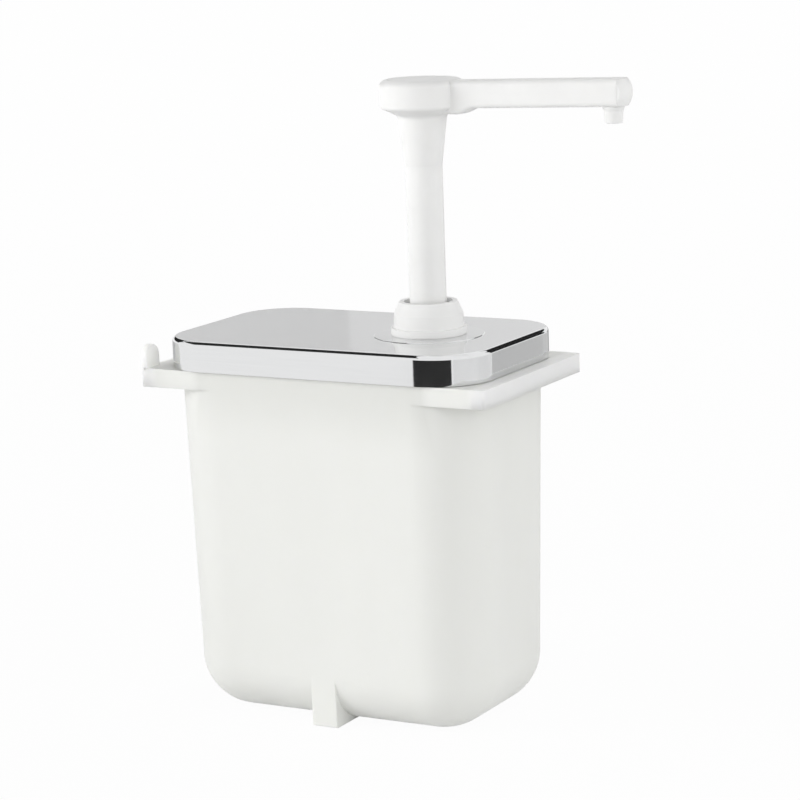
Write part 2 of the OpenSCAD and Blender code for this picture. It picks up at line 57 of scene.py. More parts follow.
Fixed = tuple[tuple[str, object], ...]
Driven = tuple[tuple[str, str, Ramp], ...]
Socket = bpy.types.NodeSocket
Thing = bpy.types.Object
Edge = bmesh.types.BMEdge
Vert = bmesh.types.BMVert
EdgeTest = Callable[[Edge], bool]

# Sizes in this file are millimetres until a mesh is finished, and metres where it says so
MM = 0.001
# Distance under which two vertices are one
JOIN = 0.001
# Steps of a full turn, and of a rounded corner in a section
TURN_STEPS = 96
ARC_STEPS = 12
# Faces across a small rounded edge
FEW = 2
# Smallest turn of an edge that counts as sharp, and of one on a sloping shoulder, in degrees
SHARP = 30.0
SLOPING = 20.0
# Angle above which an edge stays crisp in the shading, in degrees
CRISP = 38.0
# Place of the pump's axis along the jar
PUMP_X = 38.0
PUMP_AXIS = (PUMP_X, 0.0)
UPRIGHT = (0, 0, 1)
# Part of a noise pattern's range that a finish uses
PATTERN = (0.3, 0.7)
# Inputs of a node that maps a range, and places of the sockets on one that mixes colours
RAMP_INPUTS = ("Value", "From Min", "From Max", "To Min", "To Max")
MIX_SHARE, MIX_LOW, MIX_HIGH, MIX_RESULT = 0, 6, 7, 2


class Body(Enum):
    """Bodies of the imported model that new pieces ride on."""

    JAR = "jar_body"
    LID = "lid_unit"
    HEAD = "head_unit"


class Slot(Enum):
    """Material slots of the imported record."""

    JAR = "jar_plastic"
    WHITE = "white_plastic"
    STEEL = "polished_steel"
    RUBBER = "seal_rubber"
    WIRE = "wire_steel"


class Join(Enum):
    """Ways in which closed shapes are put together."""

    ADD = "UNION"
    CUT = "DIFFERENCE"
    SHARE = "INTERSECT"


class Sum(Enum):
    """Ways in which a material works out a value."""

    TIMES = "MULTIPLY"
    MOST = "MAXIMUM"
    SIZE = "ABSOLUTE"


class Ray(Enum):
    """Rays that a studio card can be hidden from."""

    CAMERA = "visible_camera"
    GLOSS = "visible_glossy"
    DIFFUSE = "visible_diffuse"
    SHADOW = "visible_shadow"
    THROUGH = "visible_transmission"


# What a card is hidden from so that only gloss meets it
GLOSS_ONLY = (Ray.DIFFUSE, Ray.SHADOW, Ray.THROUGH)


def arc(centre: Point2, radius: float, start: float, end: float, steps: int = ARC_STEPS) -> list[Point2]:
    """Gives the points along an arc between two angles in degrees, both ends included."""
    angles = [math.radians(start + (end - start) * i / steps) for i in range(steps + 1)]
    return [(centre[0] + radius * math.cos(a), centre[1] + radius * math.sin(a)) for a in angles]


def stairs(*sizes: float) -> list[Point2]:
    """Gives the corners of a stepped outline from its radii and heights in turn."""
    return [pair[::-1] if i % 2 else pair for i, pair in enumerate(zip(sizes, sizes[1:]))]


def only(kind: type, geom: list) -> list:
    """Gives the elements of one kind among mixed ones."""
    return [g for g in geom if isinstance(g, kind)]


def run(edge: Edge) -> Vector:
    """Gives the way from one end of an edge to the other."""
    return edge.verts[1].co - edge.verts[0].co


class Shape:
    """A mesh that grows by operators and ends as one named piece."""

    def __init__(self) -> None:
        """Starts with an empty mesh."""
        self.bm = bmesh.new()

    @property
    def everything(self) -> list:
        """All vertices, edges and faces."""
        return self.bm.verts[:] + self.bm.edges[:] + self.bm.faces[:]

    def moved(self, by: Point3, verts: list | None = None) -> "Shape":
        """Moves the given vertices, or all."""
        bmesh.ops.translate(self.bm, vec=by, verts=self.bm.verts[:] if verts is None else verts)
        return self

    def tipped(self, axis: str) -> "Shape":
        """Turns the whole mesh by a quarter.

        Args:
            axis: Name of the axis, through the origin.

        Returns:
            This shape.
        """
        bmesh.ops.rotate(self.bm, cent=(0, 0, 0), verts=self.bm.verts,
                         matrix=Matrix.Rotation(math.pi / 2, 3, axis))
        return self

    def in_metres(self) -> "Shape":
        """Brings the whole mesh from millimetres to metres."""
        bmesh.ops.scale(self.bm, vec=(MM, MM, MM), verts=self.bm.verts)
        return self

    def merged(self) -> "Shape":
        """Merges doubles."""
        bmesh.ops.remove_doubles(self.bm, verts=self.bm.verts, dist=JOIN)
        return self

    def healed(self) -> "Shape":
        """Merges doubles, drops faces without area and turns all faces outwards.

        Returns:
            This shape.
        """
        self.merged()
        bmesh.ops.dissolve_degenerate(self.bm, edges=self.bm.edges, dist=JOIN)
        bmesh.ops.recalc_face_normals(self.bm, faces=self.bm.faces)
        return self

    def chain(self, points: list[Point3], closed: bool) -> tuple[list, list]:
        """Adds a run of vertices joined by edges, which may close on itself, and gives both."""
        verts = [self.bm.verts.new(p) for p in points]
        return verts, [self.bm.edges.new(pair) for pair in zip(verts, verts[1:] + verts[:int(closed)])]

    def spun(self, geom: list, axis: Point2, angle: float, steps: int, rise: float = 0.0) -> list:
        """Sweeps elements round an upright axis.

        Args:
            geom: Vertices and edges to sweep.
            axis: Place of the axis.
            angle: Whole angle in radians. A level full turn closes on itself.
            steps: Number of steps.
            rise: Rise of each step.

        Returns:
            The elements at the sweep's end.
        """
        whole = angle == math.tau and not rise
        return bmesh.ops.spin(self.bm, geom=geom, cent=(*axis, 0.0), axis=UPRIGHT, angle=angle,
                              dvec=(0, 0, rise), steps=steps, use_merge=whole)["geom_last"]

    def drawn(self, edges: list, by: Point3, hold: float = 0.0) -> None:
        """Extrudes edges along a straight line.

        Args:
            edges: Edges to extrude.
            by: Whole distance along each axis.
            hold: Length of a first short step that keeps the face beyond it flat in the shading.
        """
        way = Vector(by)
        first = way.normalized() * hold
        for step in (first, way - first) if hold else (way,):
            new = bmesh.ops.extrude_edge_only(self.bm, edges=edges)["geom"]
            self.moved(step, only(Vert, new))
            edges = only(Edge, new)

    def turn(self, outline: list[Point2], axis: Point2 = PUMP_AXIS, steps: int = TURN_STEPS,
             closed: bool = True) -> "Shape":
        """Spins an outline once round an upright axis.

        Args:
            outline: Points as distance from the axis and height.
            axis: Place of the axis.
            steps: Number of steps in the turn.
            closed: Whether an outline that doesn't start on the axis closes on itself.

        Returns:
            This shape.
        """
        points = [(axis[0] + r, axis[1], z) for r, z in outline]
        verts, edges = self.chain(points, closed and outline[0][0] > JOIN)
        self.spun(verts + edges, axis, math.tau, steps)
        return self.healed()

    def four_corners(self, section: list[Point2], centre: Point2, steps: int, hold: float = 0.0) -> "Shape":
        """Makes a four-cornered body from the half section of one corner.

        Args:
            section: Points as distance from the corner's axis and height. A flat closes an end on the axis.
            centre: Distance of the corners' axes from the middle, along and across.
            steps: Number of steps in each corner.
            hold: Width of the strip beside each corner that keeps the walls flat in the shading.

        Returns:
            This shape.
        """
        cx, cy = centre
        verts, first = self.chain([(cx + r, cy, z) for r, z in section], False)
        last = only(Edge, self.spun(verts + first, centre, math.pi / 2, steps))
        self.drawn(first, (0, -cy, 0), hold)
        self.drawn(last, (-cx, 0, 0), hold)
        self.merged()
        for level in [z for r, z in (section[0], section[-1]) if r < JOIN]:
            middle = [e for e in self.bm.edges if all(
                abs(v.co.x - cx) < JOIN and abs(v.co.z - level) < JOIN and v.co.y < cy + JOIN
                for v in e.verts)]
            self.drawn(middle, (-cx, 0, 0), hold)
        for axis in "XY":
            self.merged()
            bmesh.ops.mirror(self.bm, geom=self.everything, matrix=Matrix.Identity(4), merge_dist=JOIN,
                             axis=axis)
        return self.healed()

    def prism(self, outline: list[Point3], by: Point3) -> "Shape":
        """Extrudes a closed flat outline into a solid.

        Args:
            outline: Corners of the outline in order.
            by: Extrusion along each axis.

        Returns:
            This shape.
        """
        verts, _ = self.chain(outline, True)
        face = self.bm.faces.new(verts)
        new = bmesh.ops.extrude_face_region(self.bm, geom=[face], use_keep_orig=True)["geom"]
        return self.moved(by, only(Vert, new)).healed()

    def block(self, low: Point3, high: Point3) -> "Shape":
        """Adds a box between two corners.

        Args:
            low: Lowest corner.
            high: Highest corner.

        Returns:
            This shape.
        """
        verts = bmesh.ops.create_cube(self.bm, size=1.0)["verts"]
        bmesh.ops.scale(self.bm, vec=Vector(high) - Vector(low), verts=verts)
        return self.moved((Vector(high) + Vector(low)) / 2, verts)

    def rounded(self, radius: float, segments: int = 3, least: float = SHARP,
                where: EdgeTest | None = None) -> "Shape":
        """Rounds the edges at which the surface turns sharply.

        Args:
            radius: Width of the rounding.
            segments: Number of faces across it.
            least: Smallest turn of an edge that is rounded, in degrees.
            where: Test that an edge has to pass.

        Returns:
            This shape.
        """
        self.bm.normal_update()
        sharp = [e for e in self.bm.edges if e.is_manifold and e.calc_face_angle(0.0) > math.radians(least)
                 and (not where or where(e))]
        bmesh.ops.bevel(self.bm, geom=sharp, offset=radius, offset_type="OFFSET", segments=segments,
                        profile=0.5, affect="EDGES", clamp_overlap=True, material=-1)
        return self

    def beside(self, other: "Shape") -> "Shape":
        """Takes in another shape without joining it.

        Args:
            other: The other shape, which is used up.

        Returns:
            This shape.
        """
        spare = bpy.data.meshes.new("spare")
        other.bm.to_mesh(spare)
        other.bm.free()
        self.bm.from_mesh(spare)
        bpy.data.meshes.remove(spare)
        return self

    def with_shapes(self, others: list["Shape"], how: Join) -> "Shape":
        """Joins closed shapes to this one, or cuts them from it.

        Args:
            others: The other closed shapes, which are used up.
            how: The way in which they are put together.

        Returns:
            This shape.
        """
        base = self.raw("base")
        tools = [other.raw("tool") for other in others]
        for tool in tools:
            change = base.modifiers.new("put_together", "BOOLEAN")
            change.operation, change.object, change.solver = how.value, tool, "EXACT"
        bpy.context.view_layer.update()
        seen = base.evaluated_get(bpy.context.evaluated_depsgraph_get())
        self.bm = bmesh.new()
        self.bm.from_mesh(seen.to_mesh())
        seen.to_mesh_clear()
        for spent in [base, *tools]:
            mesh = spent.data
            bpy.data.objects.remove(spent)
            bpy.data.meshes.remove(mesh)
        return self.merged()

    def raw(self, name: str) -> Thing:
        """Turns the mesh into an object as it is.

        Args:
            name: Name of the object.

        Returns:
            The linked object.
        """
        mesh = bpy.data.meshes.new(name)
        self.bm.to_mesh(mesh)
        self.bm.free()
        made = bpy.data.objects.new(name, mesh)
        bpy.context.scene.collection.objects.link(made)
        return made

    def piece(self, name: str) -> Thing:
        """Ends the shape as a smooth piece at the origin, in metres.

        Args:
            name: Name of the piece.

        Returns:
            The linked object.
        """
        made = self.in_metres().raw(name)
        made.data.shade_smooth()
        made.data.set_sharp_from_angle(angle=math.radians(CRISP))
        flat = made.modifiers.new("flat_walls", "WEIGHTED_NORMAL")
        flat.keep_sharp = True
        return made


def ring(inner: float, outer: float, low: float, high: float, axis: Point2 = PUMP_AXIS,
         steps: int = TURN_STEPS) -> Shape:
    """Gives an upright round ring between two heights, or a rod where the inner radius is 0."""
    return Shape().turn(stairs(inner, low, outer, high, inner), axis, steps)


@dataclass(frozen=True)
class Grain:
    """A noise pattern: waves per metre, number of finer layers and factor on the waves along each axis."""

    scale: float
    detail: float = 3.0
    stretch: Point3 = (1.0, 1.0, 1.0)


class Board:
    """The node board of a material or of the studio's surround."""

    def __init__(self, owner: bpy.types.Material | bpy.types.World) -> None:
        """Opens a board.

        Args:
            owner: Material or surround that the board belongs to.
        """
        owner.use_nodes = True
        self.owner = owner
        self.nodes = owner.node_tree.nodes

    @property
    def shader(self) -> bpy.types.Node:
        """The material's shader."""
        return self.nodes["Principled BSDF"]

    def link(self, source: Socket, target: Socket) -> None:
        """Joins two sockets."""
        self.owner.node_tree.links.new(source, target)

    def drive(self, name: str, source: Socket) -> None:
        """Joins a value to the named socket of the shader."""
        self.link(source, self.shader.inputs[name])

    def fix(self, values: Fixed) -> None:
        """Sets values that are the same all over on the shader's own sockets."""
        for name, value in values:
            self.shader.inputs[name].default_value = value

    def node(self, kind: str, values: dict[str | int, object], **settings: str) -> bpy.types.Node:
        """Adds a node.

        Args:
            kind: Its kind.
            values: Numbers and sockets for its inputs, by name or place.
            settings: Its own settings by name.

        Returns:
            The node.
        """
        made = self.nodes.new(kind)
        for name, setting in settings.items():
            setattr(made, name, setting)
        for key, value in values.items():
            if isinstance(value, Socket):
                self.link(value, made.inputs[key])
            else:
                made.inputs[key].default_value = value
        return made

    def place(self) -> Socket:
        """Adds the piece's own coordinates."""
        return self.node("ShaderNodeTexCoord", {}).outputs["Object"]

    def noise(self, grain: Grain) -> Socket:
        """Adds a noise pattern.

        Args:
            grain: The pattern.

        Returns:
            Its value.
        """
        place = self.node("ShaderNodeMapping", {"Vector": self.place(), "Scale": grain.stretch}).outputs[0]
        return self.node("ShaderNodeTexNoise", {
            "Vector": place, "Scale": grain.scale, "Detail": grain.detail}).outputs["Fac"]

    def ranged(self, value: Socket, ramp: Ramp, way: str = "LINEAR") -> Socket:
        """Maps a value from the range of a ramp's first two numbers to its last two."""
        values = dict(zip(RAMP_INPUTS, (value, *ramp)))
        return self.node("ShaderNodeMapRange", values, interpolation_type=way).outputs["Result"]

    def spread(self, grain: Grain, low: float = 0.0, high: float = 1.0) -> Socket:
        """Spreads the middle of a noise pattern over a range."""
        return self.ranged(self.noise(grain), (*PATTERN, low, high))

    def reach(self, axis: str, ramp: Ramp) -> Socket:
        """Maps the distance from the middle along an axis, in metres, by a smooth ramp."""
        along = self.node("ShaderNodeSeparateXYZ", {0: self.place()}).outputs[axis]
        return self.ranged(self.math(Sum.SIZE, along), ramp, "SMOOTHSTEP")

    def math(self, how: Sum, one: Socket, other: Socket | float = 0.0) -> Socket:
        """Works out a value from one or two others."""
        return self.node("ShaderNodeMath", {0: one, 1: other}, operation=how.value).outputs[0]

    def tint(self, share: Socket, low: Colour, high: Colour) -> None:
        """Colours the surface with a mix of two colours, by the share of the second."""
        values = {MIX_SHARE: share, MIX_LOW: (*low, 1.0), MIX_HIGH: (*high, 1.0)}
        self.drive("Base Color", self.node("ShaderNodeMix", values, data_type="RGBA").outputs[MIX_RESULT])

    def bump(self, grain: Grain, strength: float, depth: float) -> None:
        """Raises the surface by a noise pattern, up to a depth in metres."""
        values = {"Strength": strength, "Distance": depth, "Height": self.noise(grain)}
        self.drive("Normal", self.node("ShaderNodeBump", values).outputs["Normal"])

    def seen(self) -> Socket:
        """Tells apart the rays by which something is seen.

        Returns:
            1 for rays from the camera, from gloss and through clear pieces, and 0 for others.
        """
        path = self.node("ShaderNodeLightPath", {}).outputs
        bent = self.math(Sum.MOST, path["Is Glossy Ray"], path["Is Transmission Ray"])
        return self.math(Sum.MOST, path["Is Camera Ray"], bent)

    def shown(self, share: Socket, one: bpy.types.Node, other: bpy.types.Node, output: str) -> None:
        """Mixes two shaders by the share of the second and shows the result at the named output."""
        mix = self.node("ShaderNodeMixShader", {0: share, 1: one.outputs[0], 2: other.outputs[0]})
        self.link(mix.outputs[0], self.nodes[output].inputs["Surface"])


@dataclass(frozen=True)
class Finish:
    """A finish whose colour, gloss and surface each follow a noise pattern."""

    name: str
    body: Colour
    cloud: Colour
    gloss: Point2
    tone: Grain
    sheen: Grain
    skin: Grain
    relief: Point2
    fixed: Fixed = ()
    driven: Driven = ()

    def share(self, board: Board) -> Socket:
        """Gives the share of the cloud's colour."""
        return board.spread(self.tone)

    def material(self) -> bpy.types.Material:
        """Makes the material.

        Returns:
            The material.
        """
        board = Board(bpy.data.materials.new(self.name))
        board.tint(self.share(board), self.body, self.cloud)
        board.drive("Roughness", board.spread(self.sheen, *self.gloss))
        board.bump(self.skin, *self.relief)
        board.fix(self.fixed)
        for socket, axis, ramp in self.driven:
            board.drive(socket, board.reach(axis, ramp))
        return board.owner


@dataclass(frozen=True)
class MouldedPlastic(Finish):
    """White moulded plastic with a soft sheen, faint clouding and a fine spark texture."""

    name: str = "moulded_white_plastic"
    body: Colour = (0.83, 0.83, 0.82)
    cloud: Colour = (0.865, 0.865, 0.855)
    gloss: Point2 = (0.30, 0.42)
    tone: Grain = Grain(55.0, 4.0)
    sheen: Grain = Grain(160.0, 5.0)
    skin: Grain = Grain(2600.0, 2.0)
    relief: Point2 = (0.06, 0.00012)
    fixed: Fixed = (("Subsurface Weight", 0.12), ("Subsurface Radius", (1.0, 1.0, 0.9)),
                    ("Subsurface Scale", 0.003), ("IOR", 1.49))


@dataclass(frozen=True)
class MilkyPlastic(Finish):
    """Uncoloured, milky jar plastic with flow clouds, painted shade under the lid and a painted glow in the
    thin ends.
    """

    name: str = "milky_jar_plastic"
    # The darker colour is where the painted shade under the lid pulls; the paler one is reached only in the
    # painted glow of the thin ends
    body: Colour = (0.66, 0.665, 0.635)
    cloud: Colour = (0.924, 0.929, 0.899)
    gloss: Point2 = (0.36, 0.50)
    tone: Grain = Grain(14.0, 5.0, (1.0, 1.0, 0.35))
    sheen: Grain = Grain(70.0, 6.0, (1.0, 1.0, 0.4))
    skin: Grain = Grain(900.0)
    relief: Point2 = (0.08, 0.00015)
    fixed: Fixed = (("Subsurface Radius", (1.0, 1.0, 0.9)), ("IOR", 1.5))
    driven: Driven = (("Subsurface Weight", "X", (0.083, 0.088, 0.25, 1.0)),
                      ("Subsurface Scale", "X", (0.083, 0.088, 0.003, 0.010)))
    flow: Point2 = (0.82, 1.0)
    # Painted shade: the walls darken towards the lid, standing in for the shade that the lid casts into the
    # milky jar
    painted_shade_under_lid: Ramp = (0.135, 0.168, 1.0, 0.5)
    # The painted shade stops past the middle of the long walls, so the ends and ledges keep their colour
    painted_shade_stop_past_walls: Ramp = (0.054, 0.066, 0.0, 1.0)
    # Painted glow: the ledges and lugs past the walls' ends are paler, standing in for light that passes
    # through the thin plastic
    painted_glow_thin_ends: Ramp = (0.083, 0.088, 0.625, 1.0)

    def share(self, board: Board) -> Socket:
        """Gives the share of the paler colour: flow clouds, a painted glow that leaves the walls less pale
        than the thin ends, and painted shade under the lid.

        Args:
            board: Board of the material.

        Returns:
            The share.
        """
        shade = board.math(Sum.MOST, board.reach("Z", self.painted_shade_under_lid), board.reach("X", self.painted_shade_stop_past_walls))
        pale = board.math(Sum.TIMES, board.spread(self.tone, *self.flow), shade)
        return board.math(Sum.TIMES, pale, board.reach("X", self.painted_glow_thin_ends))


@dataclass(frozen=True)
class PolishedSteel(Finish):
    """Bright pressed steel sheet with faint polishing lines along its length."""

    name: str = "polished_steel_sheet"
    body: Colour = (0.763, 0.768, 0.773)
    cloud: Colour = (0.783, 0.788, 0.793)
    gloss: Point2 = (0.05, 0.10)
    tone: Grain = Grain(900.0, 4.0, (0.03, 1.0, 1.0))
    sheen: Grain = Grain(40.0, 5.0, (0.4, 1.0, 1.0))
    skin: Grain = Grain(900.0, 4.0, (0.03, 1.0, 1.0))
    relief: Point2 = (0.012, 0.00004)
    fixed: Fixed = (("Metallic", 1.0),)


@dataclass(frozen=True)
class SealRubber(Finish):
    """Dark grey moulded rubber with dusty patches and a fine, matt grain."""

    name: str = "dark_seal_rubber"
    body: Colour = (0.055, 0.055, 0.058)
    cloud: Colour = (0.095, 0.095, 0.098)
    gloss: Point2 = (0.62, 0.80)
    tone: Grain = Grain(220.0, 6.0)
    sheen: Grain = Grain(400.0)
    skin: Grain = Grain(3200.0, 2.0)
    relief: Point2 = (0.15, 0.0001)


@dataclass(frozen=True)
class DrawnSteel(Finish):
    """Bright drawn wire and ground balls, with drawing marks."""

    name: str = "bright_drawn_steel"
    body: Colour = (0.52, 0.53, 0.545)
    cloud: Colour = (0.62, 0.63, 0.64)
    gloss: Point2 = (0.16, 0.30)
    tone: Grain = Grain(700.0, 5.0, (1.0, 1.0, 0.3))
    sheen: Grain = Grain(500.0, 4.0)
    skin: Grain = Grain(700.0, 5.0, (1.0, 1.0, 0.3))
    relief: Point2 = (0.04, 0.00005)
    fixed: Fixed = (("Metallic", 1.0),)


@dataclass
class Assembly:
    """A group of pieces that are made and dressed together, with the materials of the record's slots."""

    finishes: dict[Slot, bpy.types.Material]
    body: Body = Body.LID

    def paint(self, piece: Thing, slot: Slot) -> None:
        """Gives a piece the material of a slot."""
        piece.data.materials.clear()
        piece.data.materials.append(self.finishes[slot])

    def dress(self, shape: Shape, name: str, slot: Slot, node: str) -> Thing:
        """Ends a shape as a piece, with its material, its body and the node that it stands for.

        Args:
            shape: The finished shape.
            name: Name of the piece.
            slot: Slot whose finish it takes.
            node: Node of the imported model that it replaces.

        Returns:
            The piece.
        """
        piece = shape.piece(name)
        self.paint(piece, slot)
        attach(piece, self.body.value)
        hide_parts(node)
        LOG.info("%s rides on %s and stands for %s", name, self.body.value, node)
        return piece

    def dress_nodes(self, slot: Slot, *nodes: str) -> None:
        """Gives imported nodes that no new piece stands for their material.

        Args:
            slot: Slot whose finish they take.
            nodes: Names of the nodes.
        """
        for node in nodes:
            self.paint(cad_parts[node], slot)
            LOG.info("%s stays as packed, in %s", node, slot.value)


@dataclass
class Jar(Assembly):
    """The milky jar with its end ledges, lugs and foot fins."""

    body: Body = Body.JAR
    length: float = 167.0
    width: float = 105.0
    height: float = 184.5
    corner: float = 32.0
    wall: float = 2.4
    lean: float = 1.5
    base_round: float = 26.57
    rim_round: float = 0.9
    corner_steps: int = 28
    fin_width: float = 13.6
    fin_proud: float = 0.02
    ledge_end: float = 93.0
    ledge_top: float = 170.7
    ledge_depth: float = 9.0
    ledge_wall: float = 2.5
    ledge_corner: float = 2.0
    ledge_parts: int = 5
    ledge_inset: float = 0.15
    lug_length: float = 12.0
    lug_height: float = 11.0
    lug_thick: float = 3.4
    soft_edge: float = 0.7

    @property
    def centre(self) -> Point2:
        """Distance of the corners' axes from the middle."""
        return self.length / 2 - self.corner, self.width / 2 - self.corner

    @property
    def rise(self) -> float:
        """Outward run of a wall for each millimetre of height."""
        return math.tan(math.radians(self.lean))

    @property
    def foot(self) -> float:
        """Place of the straight wall's lowest end, from a corner's axis."""
        return self.corner - self.height * self.rise

    def level(self, thick: float) -> float:
        """A wall's thickness as it measures along the level."""
        return thick / math.cos(math.radians(self.lean))

    @property
    def round_r(self) -> float:
        """Place of the base round's middle, from a corner's axis."""
        return self.foot + self.base_round * self.rise - self.level(self.base_round)

    def skin(self, inset: float, top: float) -> list[Point2]:
        """Gives one corner's half section, at an inset from the outside and up to a height."""
        base = arc((self.round_r, self.base_round), self.base_round - inset, -90.0, -self.lean, 2 * ARC_STEPS)
        return [(0.0, inset), *base, (self.foot + top * self.rise - self.level(inset), top)]

    def wall_y(self, z: float) -> float:
        """Half the outside width at a height."""
        return self.width / 2 - (self.height - z) * self.rise

    @property
    def ledge_half(self) -> float:
        """Half the ledges' width, which starts just inside the long walls."""
        return self.wall_y(self.ledge_top - self.ledge_depth) - self.ledge_inset

    def shell(self) -> Shape:
        """Gives the hollow body with a rounded rim."""
        section = self.skin(0.0, self.height) + self.skin(self.wall, self.height)[::-1]
        return Shape().four_corners(section, self.centre, self.corner_steps).rounded(self.rim_round)

    def core(self) -> Shape:
        """Gives a closed body that ends half way through the walls."""
        middle = self.skin(self.wall / 2, self.height + self.wall)
        return Shape().four_corners([*middle, (0.0, middle[-1][1])], self.centre, self.corner_steps)

    def ledge(self, side: int) -> Shape:
        """Gives one end ledge, hollow from below and cut off inside the wall.

        Args:
            side: 1 for the spout's end and -1 for the other.

        Returns:
            The ledge.
        """
        start, end = sorted((side * self.centre[0], side * self.ledge_end))
        low = self.ledge_top - self.ledge_depth
        shape = Shape().block((start, -self.ledge_half, low), (end, self.ledge_half, self.ledge_top))
        shape.rounded(self.ledge_corner, self.ledge_parts, where=lambda e: abs(run(e).z) > JOIN and all(
            abs(v.co.x - side * self.ledge_end) < JOIN for v in e.verts))
        under = min(shape.bm.faces, key=lambda f: f.calc_center_median().z)
        bmesh.ops.inset_region(shape.bm, faces=[under], thickness=self.ledge_wall, use_even_offset=True)
        shape.moved((0, 0, self.ledge_depth - self.ledge_wall), under.verts[:])
        return shape.rounded(self.soft_edge).with_shapes([self.core()], Join.CUT)

    def fin(self, side: int) -> Shape:
        """Gives the fin that carries one long wall down to the floor.

        Args:
            side: 1 or -1 for the two long walls.

        Returns:
            The fin.
        """
        top = self.base_round + 2 * self.wall
        inner = self.centre[1] + self.round_r
        outer = [(self.wall_y(z) + self.fin_proud, z) for z in (0.0, top)]
        root = arc((inner, self.base_round), self.base_round - self.wall / 2, -self.lean, -90.0)
        outline = [(inner, 0.0), *outer, (self.wall_y(top) - self.wall / 2, top), *root]
        start = -self.fin_width / 2
        shape = Shape().prism([(start, side * y, z) for y, z in outline], (self.fin_width, 0, 0))
        return shape.rounded(self.soft_edge, where=lambda e: all(
            side * v.co.y > self.wall_y(v.co.z) - JOIN for v in e.verts))

    def lug(self, side: int) -> Shape:
        """Gives a round-topped lug at one corner of the left ledge.

        Args:
            side: 1 or -1 for the two corners.

        Returns:
            The lug.
        """
        r = self.lug_length / 2
        foot = self.ledge_top - self.ledge_wall / 2
        top = self.ledge_top + self.lug_height - r
        outline = [(r, foot), *arc((0.0, top), r, 0.0, 180.0, 2 * ARC_STEPS), (-r, foot)]
        middle = side * (self.ledge_half - r)
        shape = Shape().prism([(-self.ledge_end, middle + y, z) for y, z in outline], (self.lug_thick, 0, 0))
        return shape.rounded(self.soft_edge)

    def build(self) -> None:
        """Makes the jar as one moulding and dresses it."""
        parts = [make(side) for make in (self.ledge, self.fin, self.lug) for side in (1, -1)]
        self.dress(self.shell().with_shapes(parts, Join.ADD), "jar_moulding", Slot.JAR, "jar")


@dataclass
class Lid(Assembly):
    """The pressed steel lid with the boss under the pump."""

    length: float = 170.0
    width: float = 108.0
    corner: float = 27.0
    top: float = 185.5
    bottom: float = 171.0
    sheet: float = 1.0
    bend: float = 2.2
    boss_foot: float = 26.5
    boss_top: float = 186.1
    boss_flat: float = 17.6
    boss_lip: float = 0.25
    boss_round: float = 0.1
    boss_parts: int = 4
    hole: float = 14.5
    strip: float = 0.8
    corner_steps: int = 32

    def build(self) -> None:
        """Makes skirt, bend, flat top and boss as one sheet and dresses it."""
        edge = arc((self.corner - self.bend, self.top - self.bend), self.bend, 90.0, 0.0)
        section = [(self.corner - self.bend - self.strip, self.top), *edge, (self.corner, self.bottom)]
        centre = (self.length / 2 - self.corner, self.width / 2 - self.corner)
        shape = Shape().four_corners(section, centre, self.corner_steps, self.strip)
        boss = Shape().turn([
            (self.hole, self.boss_top), (self.boss_flat, self.boss_top),
            (self.boss_foot - self.boss_lip, self.top + self.boss_lip), (self.boss_foot, self.top),
            (self.boss_foot + 2 * self.strip, self.top)], closed=False)
        shape.beside(boss.rounded(self.boss_round, self.boss_parts))
        rings = [e for e in shape.bm.edges
                 if e.is_boundary and all(abs(v.co.z - self.top) < JOIN for v in e.verts)]
        bmesh.ops.triangle_fill(shape.bm, edges=rings, use_beauty=True, normal=UPRIGHT)
        shape.healed()
        bmesh.ops.solidify(shape.bm, geom=shape.bm.faces[:], thickness=self.sheet)
        self.dress(shape.healed(), "lid_pressing", Slot.STEEL, "lid")


@dataclass
class Clamp(Assembly):
    """Collar, washer and gasket that clamp the pump to the lid."""

    bottom: float = 186.6
    top: float = 201.9
    flange_r: float = 18.1
    flange_h: float = 3.0
    body_r: float = 16.8
    draft: float = 0.3
    shoulder: float = 6.0
    top_r: float = 14.1
    recess_r: float = 11.6
    recess_floor: float = 197.9
    neck_r: float = 14.06
    collar_edge: float = 0.55
    collar_parts: int = 4
    washer_bottom: float = 186.1
    washer_r: float = 18.0
    washer_edge: float = 0.1
    gasket_low: float = 183.9
    gasket_high: float = 185.1
    gasket_r: float = 21.2
    gasket_edge: float = 0.3

    def build(self) -> None:
        """Makes the three pieces and dresses them."""
        collar = Shape().turn([
            *stairs(self.neck_r, self.bottom, self.flange_r, self.bottom + self.flange_h, self.body_r),
            (self.body_r - self.draft, self.top - self.shoulder), (self.top_r, self.top - self.draft),
            *stairs(self.top_r - self.draft, self.top, self.recess_r, self.recess_floor, self.neck_r)])
        collar.rounded(self.collar_edge, self.collar_parts, SLOPING,
                       lambda e: e.verts[0].co.z > self.bottom + JOIN)
        self.dress(collar, "collar_nut", Slot.WHITE, "collar")
        washer = ring(self.neck_r, self.washer_r, self.washer_bottom, self.bottom)
        self.dress(washer.rounded(self.washer_edge), "collar_washer_ring", Slot.WHITE, "collar_washer")
        gasket = ring(self.neck_r, self.gasket_r, self.gasket_low, self.gasket_high)
        self.dress(gasket.rounded(self.gasket_edge), "flange_gasket_ring", Slot.RUBBER, "flange_gasket")


